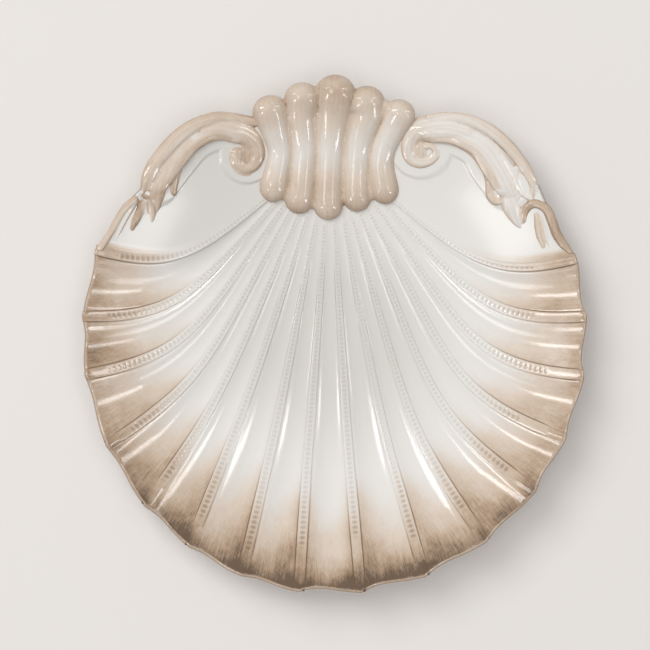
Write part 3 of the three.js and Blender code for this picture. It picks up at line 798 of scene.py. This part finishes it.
def follow(points, paths):
    """Each point's place beside and along the nearest path, how far off that is, and its nearness to each."""
    best = np.full(len(points), 1e9)
    flow = np.zeros((len(points), 3))
    nearness = []
    for number, path in enumerate(paths):
        rows = spline(path)
        run = np.concatenate([[0], np.cumsum(np.linalg.norm(np.diff(rows[:, :2], axis=0), axis=1))])
        steps = np.gradient(rows[:, :2], axis=0)
        steps /= np.linalg.norm(steps, axis=1)[:, None]
        own = np.full(len(points), 1e9)
        for (x, y, half), s, ahead in zip(rows, run, steps):
            off = points[:, :2] - (x, y)
            far = np.hypot(*off.T) / half
            own = np.minimum(own, far)
            closer = far < best
            best[closer] = far[closer]
            beside = off[closer] @ (-ahead[1], ahead[0])
            total = closer.sum()
            flow[closer] = np.stack([beside, np.full(total, s), np.full(total, number * FLOW_LAYER)], axis=1)
        nearness.append(np.exp(-NEARNESS * own ** 2))
    return flow, best, np.array(nearness)


def strands(flow):
    beside, along, layer = flow.T
    waves = 0
    for size, fineness, sway, often, shift in STRANDS:
        waves = waves + size * np.sin(fineness * beside + sway * np.sin(often * along) + shift * layer)
    return waves


def make_fused(name, bodies, paths, material, tint, streaks):
    """A fused group of rolls. tint(points, beside, nearness) gives the wash on its open surfaces."""
    points, faces, normals, pairs = fuse(bodies)
    flow, beside, nearness = follow(points, paths)
    hollow = hollowness(points, normals, pairs)
    # Darker where a face turns steeply from up or faces down, set by its normal alone.
    low = 1 - smooth(*STEEP_FACE_NORMAL_Z, normals[:, 2])
    wash = tint(points, beside, nearness) + streaks * strands(flow)
    wash = np.clip(wash + STEEP_FACE_DARKENING * low + HOLLOW_WASH * smooth(*HOLLOW_BEND, hollow), 0, 1)
    line = HOLLOW_LINE * smooth(*HOLLOW_LINE_BEND, hollow)
    add_mesh(name, points, faces, material, wash=wash, line=line, flow=flow)


def lobe_tint(points, beside, nearness):
    x, y = points[:, 0], points[:, 1]
    top = LOBE_TOP_WASH + LOBE_TOP_MIDDLE * np.exp(-(x / MIDDLE_LOBE_WIDTH) ** 2)
    ends = top * smooth(*LOBE_TOP_Y, y) + LOBE_FOOT_WASH * (1 - smooth(*LOBE_FOOT_Y, y))
    return LOBE_WASH + ends + LOBE_SIDE_WASH * smooth(*LOBE_SIDE, beside)


def scroll_tint(tints):
    """Wash for a scroll: one for each of its rolls, browner towards the roll's edges."""
    def tint(points, beside, nearness):
        mixed = np.array(tints) @ nearness / nearness.sum(axis=0)
        return mixed + SCROLL_WASH + SCROLL_SIDE_WASH * smooth(*SCROLL_SIDE, beside)
    return tint


def make_lobes(material):
    bodies = [roll_body(path, LOBE_UP) for path in LOBES] + [roll_body(path, WEB_UP) for path in LOBE_WEBS]
    make_fused("lobes", bodies, LOBES, material, lobe_tint, LOBE_STRANDS)


def make_scroll(name, rolls, material):
    bodies = [roll_body(path, up, lift=(start, end)) for path, up, start, end, _ in rolls]
    tint = scroll_tint([roll[4] for roll in rolls])
    make_fused(name, bodies, [roll[0] for roll in rolls], material, tint, SCROLL_STRANDS)


def make_foot(material):
    inner = [(FOOT_INNER + off, z) for off, z in FOOT_EDGE]
    outer = [(FOOT_OUTER - off, z) for off, z in reversed(FOOT_EDGE)]
    profile = [(FOOT_INNER, FOOT_TOP), *inner, *outer, (FOOT_OUTER, FOOT_TOP)]
    a = np.linspace(0, 2 * math.pi, FOOT_SIDES, endpoint=False)
    points = [(r * math.cos(t), r * math.sin(t), z) for r, z in profile for t in a]
    last = (len(profile) - 1) * FOOT_SIDES
    faces = ring_faces(len(profile), FOOT_SIDES, flip=True)
    for k in range(FOOT_SIDES):
        n = (k + 1) % FOOT_SIDES
        faces.append([last + k, last + n, n, k])
    blank = np.zeros(len(points))
    add_mesh("foot_ring", points, faces, material, wash=blank + FOOT_WASH, line=blank, flow=np.array(points))


def attribute(tree, name):
    node = tree.nodes.new("ShaderNodeAttribute")
    node.attribute_name = name
    return node


def math_node(tree, kind, *values, clamp=True):
    node = tree.nodes.new("ShaderNodeMath")
    node.operation = kind
    node.use_clamp = clamp
    for socket, value in zip(node.inputs, values):
        if isinstance(value, (int, float)):
            socket.default_value = value
        else:
            tree.links.new(value, socket)
    return node.outputs[0]


def noise(tree, vector, scale, detail):
    """Noise that swings about 0."""
    node = tree.nodes.new("ShaderNodeTexNoise")
    node.inputs["Scale"].default_value = scale
    node.inputs["Detail"].default_value = detail
    tree.links.new(vector, node.inputs["Vector"])
    return math_node(tree, "SUBTRACT", node.outputs["Fac"], 0.5, clamp=False)


def stretched(tree, vector, scale, turn=0):
    node = tree.nodes.new("ShaderNodeMapping")
    node.vector_type = "TEXTURE"
    node.inputs["Rotation"].default_value[2] = turn
    node.inputs["Scale"].default_value = [1 / k for k in scale]
    tree.links.new(vector, node.inputs["Vector"])
    return node.outputs["Vector"]


def unevenness(tree):
    """Brush strokes that run along the ribs and rolls, crossed hatching, and soft clouds."""
    flow = attribute(tree, "flow").outputs["Vector"]
    position = tree.nodes.new("ShaderNodeTexCoord").outputs["Object"]
    layers = []
    for scale, detail, amount in (FINE_BRUSH, BROAD_BRUSH):
        layers.append((stretched(tree, flow, scale), 1, detail, amount))
    scale, detail, amount = HATCH
    layers += [(stretched(tree, position, scale, turn), 1, detail, amount) for turn in HATCH_TURNS]
    layers.append((position, *CLOUDS))
    total = 0.0
    for vector, scale, detail, amount in layers:
        swing = noise(tree, vector, scale, detail)
        total = math_node(tree, "MULTIPLY_ADD", swing, amount, total, clamp=False)
    return total


def glaze_material():
    material = bpy.data.materials.new("washed white glaze")
    material.use_nodes = True
    tree = material.node_tree
    shader = tree.nodes["Principled BSDF"]
    shader.inputs["Roughness"].default_value = GLAZE_ROUGHNESS
    shader.inputs["IOR"].default_value = GLAZE_IOR
    # The wash attribute carries the brown wash and also the painted light and shade of the white glaze.
    wash = attribute(tree, "wash").outputs["Fac"]
    gate = math_node(tree, "MULTIPLY", math_node(tree, "SUBTRACT", wash, BARE_WASH), UNEVEN_GAIN)
    amount = math_node(tree, "MULTIPLY_ADD", unevenness(tree), gate, wash)
    ramp = tree.nodes.new("ShaderNodeValToRGB")
    stops = ramp.color_ramp.elements
    while len(stops) < len(WASH_STOPS):
        stops.new(0.5)
    for stop, (place, color) in zip(stops, WASH_STOPS):
        stop.position = place
        stop.color = (*color, 1)
    tree.links.new(amount, ramp.inputs["Fac"])
    lined = tree.nodes.new("ShaderNodeMix")
    lined.data_type = "RGBA"
    lined.inputs["B"].default_value = (*DARK_WASH, 1)
    tree.links.new(attribute(tree, "line").outputs["Fac"], lined.inputs["Factor"])
    tree.links.new(ramp.outputs["Color"], lined.inputs["A"])
    tree.links.new(lined.outputs["Result"], shader.inputs["Base Color"])
    return material


def make_floor():
    bpy.ops.mesh.primitive_plane_add(size=FLOOR_SIZE)
    floor = bpy.context.object
    floor.name = "floor"
    material = bpy.data.materials.new("pale floor")
    material.use_nodes = True
    shader = material.node_tree.nodes["Principled BSDF"]
    shader.inputs["Base Color"].default_value = (*FLOOR_COLOR, 1)
    shader.inputs["Roughness"].default_value = FLOOR_ROUGHNESS
    floor.data.materials.append(material)


def area_light(name, place, size, power, lights=True, glints=True):
    data = bpy.data.lights.new(name, "AREA")
    data.shape = "RECTANGLE"
    data.size, data.size_y = size
    data.energy = power
    light = bpy.data.objects.new(name, data)
    bpy.context.scene.collection.objects.link(light)
    light.location = place
    aim = Vector((0, 0, 0)) - Vector(place)
    light.rotation_euler = aim.to_track_quat("-Z", "Y").to_euler()
    light.visible_diffuse = lights
    light.visible_glossy = glints


def make_lights():
    world = bpy.data.worlds.new("studio")
    bpy.context.scene.world = world
    world.use_nodes = True
    background = world.node_tree.nodes["Background"]
    background.inputs["Color"].default_value = (*WORLD_COLOR, 1)
    background.inputs["Strength"].default_value = WORLD_STRENGTH
    for name, place, size, power in BROAD_LIGHTS:
        area_light(name, place, size, power, glints=False)
    for name, place, size, power in BOX_LIGHTS:
        area_light(name, place, size, power, lights=False)
    bpy.context.scene.view_settings.view_transform = "Standard"


def make_camera():
    data = bpy.data.cameras.new("camera")
    data.sensor_width = SENSOR_WIDTH
    data.lens = SENSOR_WIDTH * (CAMERA_HEIGHT - RIM_HEIGHT) / VIEW_WIDTH
    data.clip_end = CLIP_END
    camera = bpy.data.objects.new("camera", data)
    bpy.context.scene.collection.objects.link(camera)
    camera.location = (OFF_CENTRE[0] * MM, OFF_CENTRE[1] * MM, CAMERA_HEIGHT * MM)
    bpy.context.scene.camera = camera


glaze = glaze_material()
make_dish(glaze)
for i in range(RIBS):
    make_band(i, glaze)
make_lobes(glaze)
make_scroll("left_scroll", LEFT_ROLLS, glaze)
make_scroll("right_scroll", RIGHT_ROLLS, glaze)
make_foot(glaze)
make_floor()
make_lights()
make_camera()
